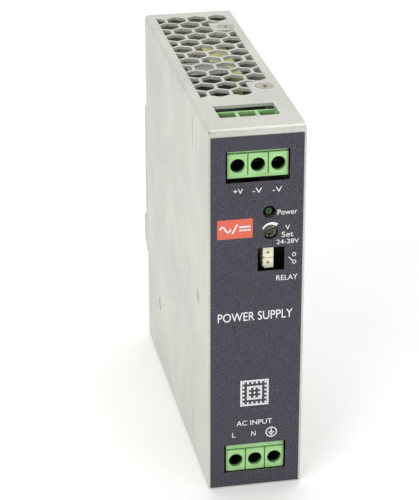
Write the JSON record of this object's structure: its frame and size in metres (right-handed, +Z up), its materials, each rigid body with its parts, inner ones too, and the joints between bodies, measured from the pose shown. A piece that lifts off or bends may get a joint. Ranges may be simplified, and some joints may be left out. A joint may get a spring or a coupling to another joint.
{
  "type": "din rail power supply",
  "caption": "Slim vented metal power supply that clips to a mounting rail, with screw terminals, a trimmer, a status lamp and a signal socket on its front.",
  "frame": {"origin": "centre of the bounding box's base: the case's flat underside, midway across its width and depth", "axes": "+X across the width to the right seen from the front, +Y from the front face to the rail, +Z up"},
  "size_m": [0.0306, 0.1226, 0.124],
  "materials": {
    "case_metal": "light warm grey, satin",
    "label": "charcoal film, fine grain",
    "screw_metal": "zinc plated",
    "terminal_green": "light green moulding",
    "terminal_metal": "nickel plated",
    "screw_dark": "blackened steel",
    "contact_tin": "tin plated",
    "board_green": "solder mask",
    "board_black": "black solder mask",
    "lamp_green": "tinted dome, unlit",
    "trimmer_white": "moulded",
    "trimmer_rotor": "dull",
    "socket_cream": "moulded nylon",
    "liner": "insulating film",
    "capacitor": "heat-shrunk sleeve over a can",
    "ferrite": "sintered",
    "tape_yellow": "polyester tape",
    "heatsink": "mill finish",
    "package_black": "moulded epoxy",
    "copper": "enamelled copper wire",
    "film_yellow": "potted case",
    "fuse": "glazed tube",
    "clip_metal": "zinc plated, satin",
    "spring_steel": "drawn wire"
  },
  "bodies": {
    "housing": {"board_screw_front": "screw_metal", "board_screw_rear": "screw_metal", "board_standoff_front": "screw_metal", "board_standoff_rear": "screw_metal", "bracket_screw_left": "screw_metal", "bracket_screw_right": "screw_metal", "bridge_rectifier": "package_black", "bulk_capacitor_front": "capacitor", "bulk_capacitor_rear": "capacitor", "cover_screw_bottom_front": "screw_metal", "cover_screw_bottom_rear": "screw_metal", "cover_screw_top_front": "screw_metal", "cover_screw_top_rear": "screw_metal", "din_bracket": "clip_metal", "film_capacitor": "film_yellow", "filter_choke": "copper", "front_label": "label", "fuse": "fuse", "housing_shell": "case_metal", "input_contact_1": "contact_tin", "input_contact_2": "contact_tin", "input_contact_3": "contact_tin", "input_terminal_block": "terminal_green", "input_terminal_board": "board_green", "insulation_sheet": "liner", "main_board": "board_green", "output_capacitor_front": "capacitor", "output_capacitor_rear": "capacitor", "output_choke": "copper", "output_contact_1": "contact_tin", "output_contact_2": "contact_tin", "output_contact_3": "contact_tin", "output_rectifier": "package_black", "output_terminal_block": "terminal_green", "output_terminal_board": "board_green", "primary_heatsink": "heatsink", "relay_socket": "socket_cream", "secondary_heatsink": "heatsink", "side_cover": "case_metal", "signal_board": "board_black", "status_lamp": "lamp_green", "switching_transistor": "package_black", "transformer_core": "ferrite", "transformer_winding": "tape_yellow", "trimmer_body": "trimmer_white"},
    "latch": {"din_latch": "clip_metal", "latch_spring": "spring_steel"},
    "trimmer": {"trimmer_rotor": "trimmer_rotor"},
    "output_screw_1": {"output_terminal_screw_1": "screw_dark"},
    "output_clamp_1": {"output_wire_clamp_1": "terminal_metal"},
    "output_screw_2": {"output_terminal_screw_2": "screw_dark"},
    "output_clamp_2": {"output_wire_clamp_2": "terminal_metal"},
    "output_screw_3": {"output_terminal_screw_3": "screw_dark"},
    "output_clamp_3": {"output_wire_clamp_3": "terminal_metal"},
    "input_screw_1": {"input_terminal_screw_1": "screw_dark"},
    "input_clamp_1": {"input_wire_clamp_1": "terminal_metal"},
    "input_screw_2": {"input_terminal_screw_2": "screw_dark"},
    "input_clamp_2": {"input_wire_clamp_2": "terminal_metal"},
    "input_screw_3": {"input_terminal_screw_3": "screw_dark"},
    "input_clamp_3": {"input_wire_clamp_3": "terminal_metal"}
  },
  "joints": [
    {"name": "latch_slide", "type": "slide", "parent": "housing", "child": "latch", "axis": [0, 0, -1], "range_m": [0, 0.004], "stiffness_N_per_m": 2500, "springref_m": -0.003, "deforming": ["latch_spring"]},
    {"name": "trimmer_turn", "type": "hinge", "parent": "housing", "child": "trimmer", "pos_m": [0.0043, -0.05675, 0.0896], "axis": [0, 1, 0], "range_deg": [-135, 135]},
    {"name": "output_screw_1_turn", "type": "hinge", "parent": "housing", "child": "output_screw_1", "pos_m": [-0.00598, -0.05565, 0.11195], "axis": [0, 1, 0], "range_deg": [0, 2160]},
    {"name": "output_clamp_1_rise", "type": "slide", "parent": "housing", "child": "output_clamp_1", "axis": [0, -1, 0], "range_m": [0, 0.003]},
    {"name": "output_screw_2_turn", "type": "hinge", "parent": "housing", "child": "output_screw_2", "pos_m": [0.00035, -0.05565, 0.11195], "axis": [0, 1, 0], "range_deg": [0, 2160]},
    {"name": "output_clamp_2_rise", "type": "slide", "parent": "housing", "child": "output_clamp_2", "axis": [0, -1, 0], "range_m": [0, 0.003]},
    {"name": "output_screw_3_turn", "type": "hinge", "parent": "housing", "child": "output_screw_3", "pos_m": [0.00668, -0.05565, 0.11195], "axis": [0, 1, 0], "range_deg": [0, 2160]},
    {"name": "output_clamp_3_rise", "type": "slide", "parent": "housing", "child": "output_clamp_3", "axis": [0, -1, 0], "range_m": [0, 0.003]},
    {"name": "input_screw_1_turn", "type": "hinge", "parent": "housing", "child": "input_screw_1", "pos_m": [-0.00598, -0.05565, 0.0095], "axis": [0, 1, 0], "range_deg": [0, 2160]},
    {"name": "input_clamp_1_rise", "type": "slide", "parent": "housing", "child": "input_clamp_1", "axis": [0, -1, 0], "range_m": [0, 0.003]},
    {"name": "input_screw_2_turn", "type": "hinge", "parent": "housing", "child": "input_screw_2", "pos_m": [0.00035, -0.05565, 0.0095], "axis": [0, 1, 0], "range_deg": [0, 2160]},
    {"name": "input_clamp_2_rise", "type": "slide", "parent": "housing", "child": "input_clamp_2", "axis": [0, -1, 0], "range_m": [0, 0.003]},
    {"name": "input_screw_3_turn", "type": "hinge", "parent": "housing", "child": "input_screw_3", "pos_m": [0.00668, -0.05565, 0.0095], "axis": [0, 1, 0], "range_deg": [0, 2160]},
    {"name": "input_clamp_3_rise", "type": "slide", "parent": "housing", "child": "input_clamp_3", "axis": [0, -1, 0], "range_m": [0, 0.003]}
  ],
  "couplings": [
    {"joint": "output_screw_1_turn", "follows": "output_clamp_1_rise", "rad_per_m": 12566},
    {"joint": "output_screw_2_turn", "follows": "output_clamp_2_rise", "rad_per_m": 12566},
    {"joint": "output_screw_3_turn", "follows": "output_clamp_3_rise", "rad_per_m": 12566},
    {"joint": "input_screw_1_turn", "follows": "input_clamp_1_rise", "rad_per_m": 12566},
    {"joint": "input_screw_2_turn", "follows": "input_clamp_2_rise", "rad_per_m": 12566},
    {"joint": "input_screw_3_turn", "follows": "input_clamp_3_rise", "rad_per_m": 12566}
  ]
}
